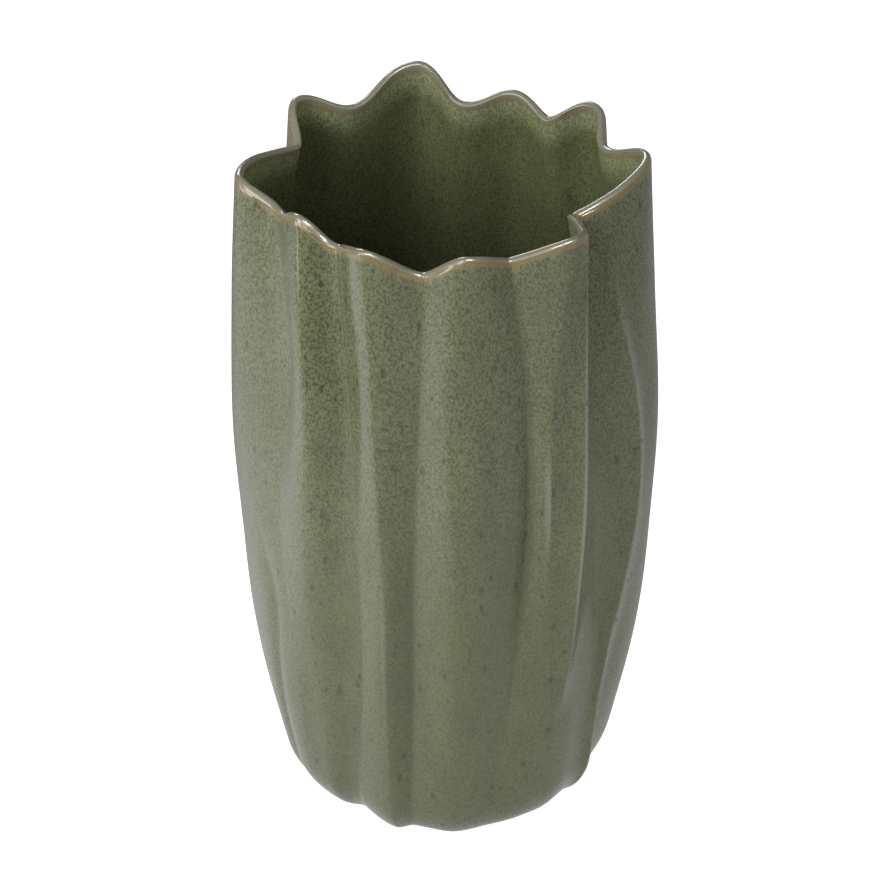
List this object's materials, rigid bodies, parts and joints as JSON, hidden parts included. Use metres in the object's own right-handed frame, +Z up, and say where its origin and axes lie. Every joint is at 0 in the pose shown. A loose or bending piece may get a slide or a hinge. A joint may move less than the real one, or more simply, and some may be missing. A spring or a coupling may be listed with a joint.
{
  "type": "stoneware vase",
  "caption": "Tall fluted stoneware vase with an open wavy lip, glazed inside and out, standing on felt pads.",
  "frame": {"origin": "middle of the footprint on the plane that the felt pads rest on", "axes": "+Z up along the vase, front towards -Y, +X to the right seen from the front"},
  "size_m": [0.1811, 0.1809, 0.3],
  "materials": {
    "fired_clay": "matt, unglazed",
    "outer_glaze": "satin reactive glaze",
    "liner_glaze": "satin reactive glaze",
    "felt": "pressed felt"
  },
  "bodies": {
    "root": {"stoneware_body": "fired_clay", "outer_glaze": "outer_glaze", "inner_glaze": "liner_glaze", "felt_pad_1": "felt", "felt_pad_2": "felt", "felt_pad_3": "felt", "felt_pad_4": "felt"}
  },
  "joints": []
}
